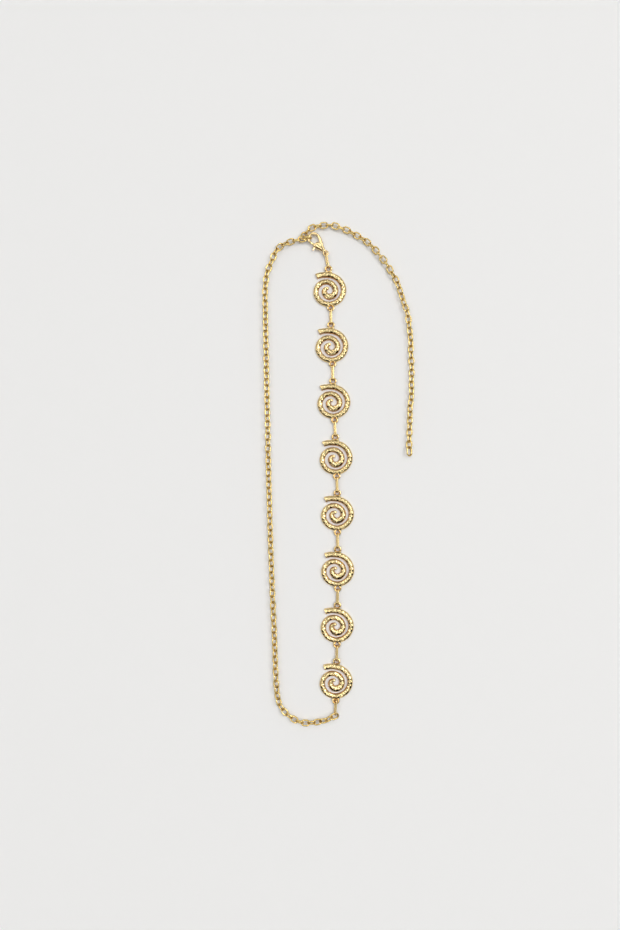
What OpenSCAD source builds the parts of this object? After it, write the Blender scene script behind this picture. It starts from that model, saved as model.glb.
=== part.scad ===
// Waist chain: flat hammered spiral pendants joined by long oval links, a lobster clasp at the
// top, and a cable chain that runs back round to the clasp and goes on as a free tail.
// It lies on a table: X across, Y along the row of pendants, Z up from the table.

/* [Spiral pendants] */
// Number of spiral pendants in the row
spiral_count = 8; // [2:1:8]
// Width of the spiral, left to right
spiral_d = 26.6; // [25:0.2:30]
// Width of the spiral's band
band_w = 4.4; // [3.6:0.1:4.8]
// Height of the band's crown above its flat back
band_h = 2.6; // [2.5:0.1:3.4]
// Height of the band's upright rim
rim_h = 1.8; // [1.2:0.1:2]
// Width of the bevel between the rim and the crown
rim_bevel = 0.5; // [0.3:0.05:0.8]
// How far the hammer marks raise and lower the crown
hammer_relief = 0.16; // [0:0.02:0.24]

/* [Pendant eyelets] */
// Diameter of an eyelet's hole
eyelet_hole_d = 3; // [2.8:0.1:3.6]
// Width of the metal round an eyelet's hole
eyelet_rim_w = 1.6; // [1.2:0.1:2]
// Thickness of an eyelet
eyelet_h = 1.3; // [1:0.05:1.4]
// Height of an eyelet's middle above the table
eyelet_z = 1.88; // [1.8:0.02:2]
// Distance of the top eyelet's hole outside the band
eyelet_top_out = 2.25; // [1.9:0.05:3]
// Distance of the bottom eyelet's hole outside the band
eyelet_bottom_out = 0.95; // [0.9:0.05:2]
// Distance of both holes to the right of the spiral's pole
eyelet_side = 0.7; // [0:0.1:1.2]
// Width of the flare where an eyelet grows out of the band
flare_w = 7.6; // [6.6:0.2:9]

/* [Connector links] */
// Overall length of a connector link
connector_l = 13.4; // [11:0.2:16]
// Overall width of a connector link
connector_w = 4.2; // [4:0.1:4.8]
// Wire of a connector link
connector_wire = 1.1; // [0.9:0.05:1.1]
// Lean of a connector link from lying flat
connector_lean = 71; // [68:1:80]
// Free play between a wire and the hole or link that it passes through
play = 0.2; // [0.15:0.01:0.25]

/* [Cable chain] */
// Pitch of the cable chain, from one crossing to the next
link_pitch = 4.8; // [4.6:0.05:5.2]
// Overall width of a chain link
link_w = 5.6; // [5.4:0.1:6]
// Wire of a chain link
link_wire = 1.2; // [1:0.05:1.25]
// Free play between two crossing chain links
link_play = 0.22; // [0.18:0.01:0.3]
// Lean of each link from lying flat, first one way and then the other
link_lean = 45; // [35:1:50]
// Overall length of the ring that ends the tail
end_ring_l = 8.6; // [8:0.1:10]
// Overall width of the ring that ends the tail
end_ring_w = 6.2; // [6:0.1:7]
// Wire of the ring that ends the tail
end_ring_wire = 1.3; // [1.1:0.05:1.4]

/* [Lobster clasp] */
// Length of the clasp from its ring's hole to its top
clasp_l = 20.3; // [20:0.1:22]
// Width of the clasp from its back to its lever
clasp_w = 10.4; // [10:0.1:11.4]
// Thickness of the clasp's body
clasp_h = 2.4; // [2.2:0.1:2.8]
// Width of the clasp's hook at its nose
hook_w = 1.9; // [1.6:0.05:1.9]
// Thickness of the clasp's hook, where it passes through a link
hook_h = 2; // [1.7:0.05:2]
// Height of the clasp's middle above the table
clasp_z = 2.81; // [2.77:0.01:2.85]
// Direction of the clasp, turned left from the top
clasp_turn = 35; // [30:1:40]
// Diameter of the hole in the clasp's ring
ring_hole_d = 2.6; // [2.4:0.1:2.8]
// Width of the metal round the hole in the clasp's ring
ring_rim_w = 1.1; // [0.9:0.1:1.4]
// Diameter of the lever's pin
pin_d = 1; // [0.8:0.05:1.2]
// Gap between the lever's bore and its pin, all round
pin_play = 0.05; // [0.03:0.01:0.08]
// Thickness of the lever inside its slot
lever_h = 1.2; // [1:0.05:1.3]
// Width of the lever's arm
lever_w = 1.8; // [1.5:0.05:2]
// Gap between the lever and each side of its slot
slot_play = 0.1; // [0.08:0.01:0.15]
// Gap between the lever's tip and the hook's nose
tip_play = 0.15; // [0.1:0.01:0.25]

/* [Hidden] */
$fn = 48;
SPIRALS = [for (i = [1:spiral_count]) str("spiral_", i)];
CONNECTORS = [for (i = [1:spiral_count + 1]) str("connector_", i)];
CHAINS = ["chain_loop", "chain_tail", "end_ring"];
CLASP = ["clasp_body", "clasp_lever", "clasp_pin"];

// The spiral's band, from its square-cut outer end to its round inner end
// [turn clockwise from the top, radius as a share of half the spiral's width, width as a share of the band]
spiral_rows = [
    [-38, 1.135, 1.05],
    [-20, 1.03, 1.02],
    [0, 0.951, 1],
    [45, 0.91, 1],
    [90, 0.895, 1],
    [135, 0.85, 1],
    [180, 0.816, 1],
    [225, 0.808, 0.99],
    [270, 0.778, 0.98],
    [315, 0.658, 0.96],
    [360, 0.523, 0.96],
    [405, 0.432, 1],
    [450, 0.408, 1.05],
    [495, 0.393, 1.11],
    [540, 0.366, 1.13],
    [585, 0.308, 1.02],
    [630, 0.271, 0.91],
    [660, 0.218, 0.77],
    [690, 0.165, 0.6],
];
TURN = 0;
RADIUS = 1;
WIDTH = 2;
spiral_stations = 56;
head_steps = [0.35, 0.65, 0.87, 0.98];

// Middle of the row of pendants as a share of the row's length, and how far each piece heads right
// on its way down
strand_mid = [-0.016, -0.0226];
spiral_turns = [3.5, 2.5, 2.5, 2, 0.3, 0, -0.6, -1.2];
connector_turns = [10, 0.3, 1, 2.5, 2, 0.6, -0.9, -1.2, -3];

// Route of the cable chain from the last connector round to the link that the clasp holds
// [distance left of the line between the two, distance along it], as shares of that line's length
loop_route = [
    [0.0049, -0.0029], [0.0174, -0.0093], [0.0303, -0.0114], [0.0449, -0.0132], [0.0606, -0.0134],
    [0.0762, -0.0098], [0.0888, -0.0023], [0.1013, 0.0084], [0.1099, 0.0194], [0.1157, 0.0315],
    [0.118, 0.0461], [0.1191, 0.0645], [0.1191, 0.0908], [0.118, 0.1379], [0.117, 0.1903],
    [0.1163, 0.2585], [0.1138, 0.3738], [0.1095, 0.5204], [0.1055, 0.6251], [0.1022, 0.7194],
    [0.0976, 0.8345], [0.0955, 0.8895], [0.0926, 0.913], [0.0894, 0.9311], [0.0827, 0.9465],
    [0.075, 0.9618], [0.0679, 0.9771], [0.0552, 0.9882], [0.0418, 0.9929], [0.03, 0.9964],
    [0.0202, 0.9977],
];
// Route of the free tail from the link that the clasp holds to its end, counted in link pitches
tail_route = [
    [-0.242, 1.016], [0.424, 1.558], [1.299, 1.954], [2.758, 2.12], [3.883, 2.225],
    [4.758, 1.995], [5.674, 1.662], [6.612, 1.37], [7.549, 0.787], [8.383, 0.412],
    [9.216, -0.15], [10.049, -0.671], [11.195, -1.817], [12.133, -2.963], [13.383, -4.546],
    [13.779, -5.421], [14.383, -6.296], [14.883, -7.13], [15.529, -9.046], [16.112, -10.963],
    [16.508, -11.838], [16.799, -13.38], [17.029, -15.463], [17.216, -17.13], [17.216, -19.005],
    [17.341, -21.088], [17.341, -22.963], [17.32, -25.046], [17.341, -26.505], [17.091, -27.963],
    [17.091, -29.421], [17.008, -31.505], [16.924, -34.838],
];
// Slow roll of the links along each chain, on top of their lean
// [share of the chain's length, degrees]
loop_rolls = [
    [0, 42.4], [0.04, 1.7], [0.07, -12], [0.16, 14], [0.3, -8], [0.42, 12], [0.6, -10], [0.75, 12],
    [0.9, -8], [0.98, -8.1], [1, -59.1],
];
tail_rolls = [
    [0, -39.7], [0.08, -47.5], [0.16, -15], [0.24, -6], [0.34, -30], [0.44, 4], [0.56, 26], [0.7, -10],
    [0.85, 12], [1, -14],
];

function unit(v) = v / norm(v);
function right_of(v) = [v[1], -v[0]];
function down(turn) = [sin(turn), -cos(turn)];
function at_turn(turn, radius) = [radius * sin(turn), radius * cos(turn)];

// Smooth value of a column of the spiral's rows at a turn
function row_before(turn, i = 0) =
    i >= len(spiral_rows) - 2 || turn < spiral_rows[i + 1][TURN] ? i : row_before(turn, i + 1);
function slope(i, column) =
    let (a = max(i - 1, 0), b = min(i + 1, len(spiral_rows) - 1))
    (spiral_rows[b][column] - spiral_rows[a][column]) / (spiral_rows[b][TURN] - spiral_rows[a][TURN]);
function row_value(turn, column) =
    let (
        i = row_before(turn),
        a = spiral_rows[i],
        b = spiral_rows[i + 1],
        span = b[TURN] - a[TURN],
        u = (turn - a[TURN]) / span
    )
    (1 + 2 * u) * (1 - u) * (1 - u) * a[column] + u * (1 - u) * (1 - u) * span * slope(i, column)
    + u * u * (3 - 2 * u) * b[column] + u * u * (u - 1) * span * slope(i + 1, column);
function spiral_radius(turn) = row_value(turn, RADIUS) * spiral_d / 2;
function spiral_width(turn) = row_value(turn, WIDTH) * band_w;
function spiral_edge(turn) = spiral_radius(turn) + spiral_width(turn) / 2;

// Centre line and widths of the band, with a round head at the inner end
first_turn = spiral_rows[0][TURN];
last_turn = spiral_rows[len(spiral_rows) - 1][TURN];
function station_turn(i) =
    let (u = i / (spiral_stations - 1)) first_turn + (last_turn - first_turn) * (u + u * u) / 2;
station_turns = [for (i = [0:spiral_stations - 1]) station_turn(i)];
turn_points = [for (t = station_turns) at_turn(t, spiral_radius(t))];
head_way = unit(turn_points[spiral_stations - 1] - turn_points[spiral_stations - 2]);
head_r = spiral_width(last_turn) / 2;
head_points = [for (s = head_steps) turn_points[spiral_stations - 1] + head_way * head_r * s];
head_widths = [for (s = head_steps) 2 * head_r * sqrt(1 - s * s)];
band_points = concat(turn_points, head_points);
band_widths = concat([for (t = station_turns) spiral_width(t)], head_widths);
band_count = len(band_points);
function band_way(i) = unit(band_points[min(i + 1, band_count - 1)] - band_points[max(i - 1, 0)]);

// Section of the band where it is w wide [to the left of the way round, height].
// The crown goes up and down by two uneven steps of the mark number, as hammer marks do
outer_step = 222;
inner_step = 137;
crown_round = 0.3;
function band_section(w, mark) =
    let (bevel = rim_bevel * min(1, w / band_w))
    [
        [w / 2 - bevel / 2, 0],
        [w / 2, rim_h / 4],
        [w / 2, rim_h],
        [w / 2 - bevel, band_h - crown_round],
        [w / 6, band_h + hammer_relief * sin(mark * outer_step)],
        [-w / 6, band_h + hammer_relief * cos(mark * inner_step)],
        [-w / 2 + bevel, band_h - crown_round],
        [-w / 2, rim_h],
        [-w / 2, rim_h / 4],
        [-w / 2 + bevel / 2, 0],
    ];
section_n = len(band_section(band_w, 0));
function placed(i, q) = let (p = band_points[i] - right_of(band_way(i)) * q[0]) [p[0], p[1], q[1]];

module spiral_band() {
    points = [for (i = [0:band_count - 1]) for (q = band_section(band_widths[i], i)) placed(i, q)];
    sides = [
        for (i = [0:band_count - 2]) for (k = [0:section_n - 1])
            let (a = i * section_n + k, b = i * section_n + (k + 1) % section_n)
            for (f = [[a, b + section_n, b], [a, a + section_n, b + section_n]]) f
    ];
    last = (band_count - 1) * section_n;
    start = [for (k = [1:section_n - 2]) [0, k, k + 1]];
    end = [for (k = [1:section_n - 2]) [last, last + k + 1, last + k]];
    polyhedron(points, concat(sides, start, end));
}

// A ring with a half-round inside and outside and a drilled hole
module eyelet(hole_d, rim_w, h) {
    land = 0.05;
    inner = hole_d / 2 - land + h / 2;
    outer = hole_d / 2 + rim_w - h / 2;
    difference() {
        rotate_extrude() union() {
            translate([inner, 0]) circle(d = h);
            translate([outer, 0]) circle(d = h);
            translate([inner, -h / 2]) square([outer - inner, h]);
        }
        cylinder(d = hole_d, h = 2 * h, center = true);
    }
}

// Places of the holes about the spiral's pole
hole_top = [eyelet_side, spiral_edge(0) + eyelet_top_out];
hole_bottom = [eyelet_side, -spiral_edge(180) - eyelet_bottom_out];
eyelet_span = hole_top[1] - hole_bottom[1];
eyelet_r = eyelet_hole_d / 2 + eyelet_rim_w;

// The flare that joins an eyelet to the band, drawn from the hole towards the pole.
// It starts inside the eyelet's rim and its root is sunk a third of the way into the band
module flare(out) {
    root = out + band_w / 3;
    neck = eyelet_r - eyelet_rim_w / 4;
    sunk = 0.3;
    taper = 0.6;
    half = [
        [neck, sunk], [neck, -min(out, root / 2) / 2],
        [flare_w / 2, -out - sunk], [flare_w / 2 - taper, -root],
    ];
    other = [for (k = [len(half) - 1:-1:0]) [-half[k][0], half[k][1]]];
    translate([0, 0, eyelet_z - eyelet_h / 2]) linear_extrude(eyelet_h) difference() {
        polygon(concat(half, other));
        circle(r = eyelet_hole_d / 2 + eyelet_rim_w / 2);
    }
}

module spiral() {
    difference() {
        union() {
            spiral_band();
            translate(hole_top) flare(eyelet_top_out);
            translate(hole_bottom) rotate(180) flare(eyelet_bottom_out);
            for (p = [hole_top, hole_bottom])
                translate([p[0], p[1], eyelet_z]) eyelet(eyelet_hole_d, eyelet_rim_w, eyelet_h);
        }
        translate([hole_bottom[0], hole_bottom[1], -1]) cylinder(d = eyelet_hole_d, h = band_h + 2);
    }
}

// The strand: each hole's place follows from the pieces above it
connector_hang = eyelet_hole_d / 2 - connector_wire / 2 - play;
connector_reach = connector_l - connector_wire;
connector_span = connector_reach + 2 * connector_hang;
function strand_way(i) =
    eyelet_span * down(spiral_turns[i])
    + (i == 0 ? [0, 0] : strand_way(i - 1) + connector_span * down(connector_turns[i]));
strand = strand_way(spiral_count - 1);
strand_top = strand_mid * norm(strand) - strand / 2;
function top_hole(i) = i == 0 ? strand_top : bottom_hole(i - 1) + connector_span * down(connector_turns[i]);
function bottom_hole(i) = top_hole(i) + eyelet_span * down(spiral_turns[i]);
ring_hang = ring_hole_d / 2 - connector_wire / 2 - play;
clasp_at = strand_top - (connector_reach + connector_hang - ring_hang) * down(connector_turns[0]);
connector_bow_r = (connector_w - connector_wire) / 2;
table_gap = 0.01;
connector_z = connector_bow_r * sin(connector_lean) + connector_wire / 2 + table_gap;

module placed_spiral(i) {
    color("goldenrod") translate(top_hole(i)) rotate(spiral_turns[i]) translate(-hole_top) spiral();
}

// A stadium-shaped link of round wire, lying flat along X; its straight sides are a whole number of 0.02 mm
module oval_link(length, width, wire) {
    bow_r = (width - wire) / 2;
    reach = round(50 * (length - width)) / 100;
    for (side = [0, 180]) rotate(side) {
        translate([reach, 0, 0]) rotate(-90)
            rotate_extrude(angle = 180) translate([bow_r, 0]) circle(d = wire);
        translate([-reach, bow_r, 0]) rotate([0, 90, 0]) cylinder(d = wire, h = 2 * reach);
    }
}

// A link laid from one point to another, with its lean about the line between them
module laid_link(from, to, lean, length, width, wire) {
    way = to - from;
    translate((from + to) / 2)
        rotate([lean, -asin(way[2] / norm(way)), atan2(way[1], way[0])]) oval_link(length, width, wire);
}

// The first connector rises to the clasp's ring, and its low end sinks until its side lies on the table
clasp_rise = clasp_z - eyelet_z;
first_sink = connector_bow_r * clasp_rise / (connector_reach - connector_bow_r);

// Where the middles of a connector's two end bows are
function connector_ends(i) =
    let (
        away = down(connector_turns[i]),
        from = i == 0 ? clasp_at - ring_hang * away
            : bottom_hole(i - 1) + (i == spiral_count ? -connector_hang : connector_hang) * away,
        to = from + connector_reach * away,
        from_z = connector_z + (i == 0 ? clasp_rise : 0),
        to_z = connector_z - (i == 0 ? first_sink : 0)
    )
    [[from[0], from[1], from_z], [to[0], to[1], to_z]];

module connector(i) {
    ends = connector_ends(i);
    color("gold") laid_link(ends[0], ends[1], connector_lean, connector_l, connector_w, connector_wire);
}

// The cable chain
function spline_point(a, b, c, d, u) =
    (2 * b + (c - a) * u + (2 * a - 5 * b + 4 * c - d) * u * u + (3 * b - a - 3 * c + d) * u * u * u) / 2;
function smooth(route) = [
    for (i = [0:len(route) - 2]) for (k = [0:5])
        spline_point(route[max(i - 1, 0)], route[i], route[i + 1], route[min(i + 2, len(route) - 1)], k / 6),
    route[len(route) - 1],
];
function distances(path) = [
    for (
        i = 0, far = 0;
        i < len(path);
        far = far + (i + 1 < len(path) ? norm(path[i + 1] - path[i]) : 0), i = i + 1
    ) far
];
function along(path, far, s, axis) = lookup(s, [for (i = [0:len(path) - 1]) [far[i], path[i][axis]]]);
function link_rise(lean) = (link_w - link_wire) / 2 * abs(sin(lean)) + link_wire / 2;

// Links of a chain [from, to, lean]; each joint is as high as the taller of the two links that meet in it.
// The number of links stays odd where odd is 1 and even where it is 0, so that both end links keep their lean
function chain_links(route, rolls, first_side, odd, from_z, to_z) =
    let (
        path = smooth(route),
        far = distances(path),
        total = far[len(far) - 1],
        count = odd + 2 * round((total / link_pitch - odd) / 2),
        leans = [
            for (n = [0:count - 1])
                (n % 2 == 0 ? first_side : -first_side) * link_lean + lookup((n + 0.5) / count, rolls)
        ],
        joints = [
            for (n = [0:count])
                let (
                    s = total * n / count,
                    before = n == 0 ? from_z : link_rise(leans[n - 1]),
                    after = n == count ? to_z : link_rise(leans[n])
                )
                [along(path, far, s, 0), along(path, far, s, 1), max(before, after)]
        ]
    )
    [for (n = [0:count - 1]) [joints[n], joints[n + 1], leans[n]]];

module chain(links) {
    for (link = links) {
        pitch = norm(link[1] - link[0]);
        laid_link(link[0], link[1], link[2], pitch + 2 * link_wire + link_play, link_w, link_wire);
    }
}

// The loop's first link lies across the last connector's bow, held by its side
loop_first_turn = -71;
loop_first_way = down(loop_first_turn);
loop_first_shift = 0.2393 * link_w;
loop_first_z = 0.2482 * link_w;
last_bow = connector_ends(spiral_count)[1];
loop_first_mid = [last_bow[0], last_bow[1]]
    - ((connector_wire + link_wire) / 2 + link_play) * down(connector_turns[spiral_count])
    - (link_w - link_wire) / 2 * right_of(loop_first_way) + loop_first_shift * loop_first_way;
loop_start = loop_first_mid - link_pitch / 2 * loop_first_way;

// The link that the clasp's hook passes through, lying across the hook
// [across, along] the clasp, as shares of its width and length
hook_grip = [-0.3942, 0.869];
hook_grip_turn = -35.7;
hooked_lean = 88;
hooked_reach = link_pitch / 2;
hooked_shift = 0.1946 * link_w;
hooked_way = [cos(clasp_turn + hook_grip_turn), sin(clasp_turn + hook_grip_turn)];
clasp_way = [-sin(clasp_turn), cos(clasp_turn)];
hooked_mid = clasp_at + hook_grip[0] * clasp_w * right_of(clasp_way) + hook_grip[1] * clasp_l * clasp_way
    - hooked_shift * hooked_way;
hooked_z = link_rise(hooked_lean);
hooked_from = hooked_mid - hooked_reach * hooked_way;
hooked_to = hooked_mid + hooked_reach * hooked_way;

// Where the loop's last link and the tail's first link meet it, about its middle
// [along it, to its left, height above the table]
loop_grip = link_w * [-0.3286, -0.0054, 0.3714];
tail_grip = link_w * [-0.6571, -0.1, 0.7161];
function at_hooked(p) = hooked_mid + p[0] * hooked_way - p[1] * right_of(hooked_way);

// Lean and direction of the ring that ends the tail
end_ring_lean = -40;
end_ring_turn = 4;
end_ring_rise = (end_ring_w - end_ring_wire) / 2 * abs(sin(end_ring_lean)) + end_ring_wire / 2;

loop_line = hooked_mid - [last_bow[0], last_bow[1]];
function on_loop(p) = [last_bow[0], last_bow[1]] + p[1] * loop_line - p[0] * right_of(loop_line);
whole_loop_route = concat([loop_start], [for (p = loop_route) on_loop(p)], [at_hooked(loop_grip)]);
whole_tail_route = concat([at_hooked(tail_grip)], [for (p = tail_route) hooked_mid + link_pitch * p]);
loop_links = chain_links(whole_loop_route, loop_rolls, -1, 0, loop_first_z, loop_grip[2]);
tail_links = chain_links(whole_tail_route, tail_rolls, 1, 1, tail_grip[2], end_ring_rise);

module chain_loop() {
    color("gold") {
        chain(loop_links);
        laid_link([hooked_from[0], hooked_from[1], hooked_z], [hooked_to[0], hooked_to[1], hooked_z],
            hooked_lean, link_pitch + 2 * link_wire + link_play, link_w, link_wire);
    }
}

module chain_tail() {
    color("gold") chain(tail_links);
}

// The ring that ends the tail, from its last joint to its free end
function end_ring_ends() =
    let (
        last = tail_links[len(tail_links) - 1][1],
        half = (end_ring_l - end_ring_wire) / 2,
        mid = [last[0], last[1]] + (half - link_wire / 2 - link_play / 2) * down(end_ring_turn),
        near = mid - half * down(end_ring_turn),
        free = mid + half * down(end_ring_turn)
    )
    [[near[0], near[1], last[2]], [free[0], free[1], last[2]]];

module end_ring() {
    ends = end_ring_ends();
    color("goldenrod") laid_link(ends[0], ends[1], end_ring_lean, end_ring_l, end_ring_w, end_ring_wire);
}

// The clasp in its own frame: its ring's hole at the origin and its top along Y.
// In these tables, across is a share of the clasp's width and along a share of its length
// Middle line of the hook [across, along, share of the hook's width]
hook_rows = [
    [0.048, 0.3, 1.6],
    [0.183, 0.46, 1.5],
    [0.279, 0.61, 1.25],
    [0.288, 0.75, 1.15],
    [0.183, 0.88, 1.1],
    [-0.029, 0.948, 1.05],
    [-0.25, 0.93, 1],
    [-0.413, 0.865, 1],
    [-0.5, 0.78, 1],
    [-0.53, 0.7, 1],
];
// Outline of the clasp's belly [across, along]
belly_rows = [
    [-0.067, 0.1], [0.087, 0.1], [0.115, 0.17], [0.192, 0.33], [0.212, 0.43], [-0.365, 0.6], [-0.47, 0.53],
    [-0.413, 0.42],
];
// Middle lines of the lever's arm and of its thumb tab [across, along, share of the lever's width]
arm_rows = [
    [-0.317, 0.488, 1.3], [-0.413, 0.586, 1.05], [-0.476, 0.685, 1], [-0.519, 0.783, 1], [-0.54, 0.86, 1],
];
tab_rows = [[-0.317, 0.488, 1.4], [-0.48, 0.438, 0.95], [-0.663, 0.384, 0.75]];
pivot = [-0.317 * clasp_w, 0.488 * clasp_l];
lever_r = 0.276 * clasp_l;
boss_r = 1.6;
slot_h = lever_h + 2 * slot_play;

// Outline of a strip about a smooth line, from rows of [across, along, share of a width]
function strip(rows, w) =
    let (
        path = smooth([for (r = rows) [r[0] * clasp_w, r[1] * clasp_l, r[2] * w]]),
        last = len(path) - 1,
        side = [
            for (i = [0:last])
                let (way = path[min(i + 1, last)] - path[max(i - 1, 0)])
                right_of(unit([way[0], way[1]])) * path[i][2] / 2
        ],
        mid = [for (p = path) [p[0], p[1]]]
    )
    concat([for (i = [0:last]) mid[i] + side[i]], [for (i = [last:-1:0]) mid[i] - side[i]]);

module slab(h) {
    translate([0, 0, -h / 2]) linear_extrude(h) children();
}

// Room for the lever's tip and its swing, at the nose
module nose_cut() {
    intersection() {
        translate(pivot) cylinder(r = lever_r + tip_play, h = 2 * clasp_h, center = true);
        translate([-0.9 * clasp_w, pivot[1] + lever_r / 2, -clasp_h])
            cube([0.8 * clasp_w, clasp_l, 2 * clasp_h]);
    }
}

// Room in the body for the lever's boss, its arm and its thumb tab
module lever_slot() {
    arm_room = pivot[1] + lever_r / 2;
    tab_room = pivot[1] - 1.9 * boss_r;
    side = pivot[0] - clasp_w / 2;
    slab(slot_h) union() {
        translate(pivot) circle(r = boss_r + 3 * slot_play);
        polygon([
            pivot, pivot + [boss_r, 0], [pivot[0] + boss_r, arm_room], [side, arm_room],
            [side, tab_room], [pivot[0], pivot[1] - 1.1 * boss_r],
        ]);
    }
}

module clasp_body() {
    color("goldenrod") difference() {
        union() {
            eyelet(ring_hole_d, ring_rim_w, eyelet_h);
            slab(clasp_h) polygon([for (r = belly_rows) [r[0] * clasp_w, r[1] * clasp_l]]);
            slab(hook_h) polygon(strip(hook_rows, hook_w));
        }
        lever_slot();
        nose_cut();
        translate(pivot) cylinder(d = pin_d, h = 2 * clasp_h, center = true);
    }
}

// Flat outline of the lever, within its swing
module lever_outline() {
    translate(pivot) circle(r = boss_r);
    intersection() {
        translate(pivot) circle(r = lever_r);
        union() {
            polygon(strip(arm_rows, lever_w));
            polygon(strip(tab_rows, lever_w));
        }
    }
}

// The lever is thin in its slot and as thick as the hook beyond it
module clasp_lever() {
    thick_from = pivot[1] + 1.8 * boss_r;
    color("gold") difference() {
        union() {
            slab(lever_h) lever_outline();
            intersection() {
                slab(hook_h) polygon(strip(arm_rows, lever_w));
                translate(pivot) cylinder(r = lever_r, h = clasp_h, center = true);
                translate([-clasp_w, thick_from, -clasp_h]) cube([2 * clasp_w, clasp_l, 2 * clasp_h]);
            }
        }
        translate(pivot) cylinder(d = pin_d + 2 * pin_play, h = 2 * clasp_h, center = true);
    }
}

module clasp_pin() {
    color("darkgoldenrod") translate(pivot) cylinder(d = pin_d, h = clasp_h, center = true);
}

module on_clasp() {
    translate([clasp_at[0], clasp_at[1], clasp_z]) rotate(clasp_turn) children();
}

for (i = [0:spiral_count - 1]) placed_spiral(i);
for (i = [0:spiral_count]) connector(i);
chain_loop();
chain_tail();
end_ring();
on_clasp() clasp_body();
on_clasp() clasp_lever();
on_clasp() clasp_pin();
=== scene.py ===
import math

import bmesh
import bpy
import numpy as np
from mathutils import Matrix, Vector


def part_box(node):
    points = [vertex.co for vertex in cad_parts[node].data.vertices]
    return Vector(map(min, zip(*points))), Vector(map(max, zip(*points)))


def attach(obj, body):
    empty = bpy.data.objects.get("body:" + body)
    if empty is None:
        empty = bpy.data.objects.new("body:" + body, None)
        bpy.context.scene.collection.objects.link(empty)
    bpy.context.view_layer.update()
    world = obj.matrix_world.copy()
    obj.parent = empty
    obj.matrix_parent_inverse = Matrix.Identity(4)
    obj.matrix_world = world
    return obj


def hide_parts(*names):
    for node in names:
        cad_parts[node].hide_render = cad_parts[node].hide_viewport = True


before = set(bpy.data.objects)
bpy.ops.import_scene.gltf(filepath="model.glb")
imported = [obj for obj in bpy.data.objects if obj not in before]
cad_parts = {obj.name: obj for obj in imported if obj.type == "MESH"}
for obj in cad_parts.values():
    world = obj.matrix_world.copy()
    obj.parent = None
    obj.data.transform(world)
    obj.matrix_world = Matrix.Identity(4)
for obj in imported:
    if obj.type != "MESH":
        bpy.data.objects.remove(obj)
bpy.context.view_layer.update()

# A waist chain that lies on a pale table, seen from straight above.
# Small shapes are drawn in millimetres and placed in the frame, which is in metres.
MM = 0.001
chain_body = "chain"
lever_body = "lever"

# The photograph: millimetres of the object for one pixel at the metal's height, and its middle on the table
mm_per_pixel = 0.8
picture_height_px = 930
picture_middle = (-23.2, 8.0)
camera_height = 620.0
metal_z = 2.0

# Sizes of the pendants, in millimetres, as in the part's source
spiral_d = 26.6
band_w = 4.4
eyelet_hole_d = 3.0
eyelet_rim_w = 1.6
eyelet_h = 1.3
eyelet_z = 1.88
eyelet_top_out = 2.25
eyelet_bottom_out = 0.95
eyelet_side = 0.7
connector_hang = 0.75

# Sizes of the clasp, in millimetres, as in the part's source
clasp_l = 20.3
clasp_w = 10.4
clasp_turn = math.radians(35)
pivot = (-0.317 * clasp_w, 0.488 * clasp_l)


# Points and faces
def circle(count):
    """Angles of evenly spaced points round a circle."""
    return [2 * math.pi * k / count for k in range(count)]


def rounded(angle, power):
    """A point of a unit section that is a circle at power 1 and squarer below it."""
    x, y = math.cos(angle), math.sin(angle)
    return math.copysign(abs(x) ** power, x), math.copysign(abs(y) ** power, y)


def ring_faces(rings, sides, closed):
    """Quads between consecutive rings of points; closed joins the last ring to the first one."""
    faces = []
    for i in range(rings if closed else rings - 1):
        a, b = i * sides, (i + 1) % rings * sides
        for k in range(sides):
            n = (k + 1) % sides
            faces.append((a + k, a + n, b + n, b + k))
    return faces


def bar_faces(rings, sides):
    """Faces of a bar: quads between its rings of points, and a face over each end."""
    last = (rings - 1) * sides
    ends = [tuple(range(sides - 1, -1, -1)), tuple(range(last, last + sides))]
    return ring_faces(rings, sides, False) + ends


def joined(parts):
    """Several lists of points and faces as one."""
    verts, faces, first = [], [], 0
    for v, f in parts:
        verts.append(v)
        faces += [tuple(first + k for k in face) for face in f]
        first += len(v)
    return np.concatenate(verts), faces


def prism(outline, low, high):
    """A flat shape from its outline, between two heights."""
    n = len(outline)
    verts = [(x, y, low) for x, y in outline] + [(x, y, high) for x, y in outline]
    faces = [tuple(range(n - 1, -1, -1)), tuple(range(n, 2 * n))]
    faces += [(k, (k + 1) % n, n + (k + 1) % n, n + k) for k in range(n)]
    return np.array(verts, float), faces


def disc(centre, radius, low, high, sides=48):
    outline = [(centre[0] + radius * math.cos(a), centre[1] + radius * math.sin(a)) for a in circle(sides)]
    return prism(outline, low, high)


def smooth_step(low, high, value):
    u = np.clip((value - low) / (high - low), 0, 1)
    return u * u * (3 - 2 * u)


def smooth_row(rows, at, column):
    """Smooth value of a column of a table whose first column grows."""
    table = np.array(rows, float)
    x, y = table[:, 0], table[:, column]
    i = np.clip(np.searchsorted(x, at, side="right") - 1, 0, len(x) - 2)
    low, high = np.maximum(np.arange(len(x)) - 1, 0), np.minimum(np.arange(len(x)) + 1, len(x) - 1)
    slopes = (y[high] - y[low]) / (x[high] - x[low])
    span = x[i + 1] - x[i]
    u = (at - x[i]) / span
    return ((1 + 2 * u) * (1 - u) ** 2 * y[i] + u * (1 - u) ** 2 * span * slopes[i]
            + u * u * (3 - 2 * u) * y[i + 1] + u * u * (u - 1) * span * slopes[i + 1])


# Meshes and objects
def new_mesh(name, verts, faces):
    """A closed mesh whose faces all look outwards."""
    mesh = bpy.data.meshes.new(name)
    mesh.from_pydata([tuple(v) for v in verts], [], [tuple(f) for f in faces])
    bm = bmesh.new()
    bm.from_mesh(mesh)
    bmesh.ops.recalc_face_normals(bm, faces=bm.faces)
    bm.to_mesh(mesh)
    bm.free()
    return mesh


def new_object(name, mesh):
    obj = bpy.data.objects.new(name, mesh)
    bpy.context.scene.collection.objects.link(obj)
    return obj


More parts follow.
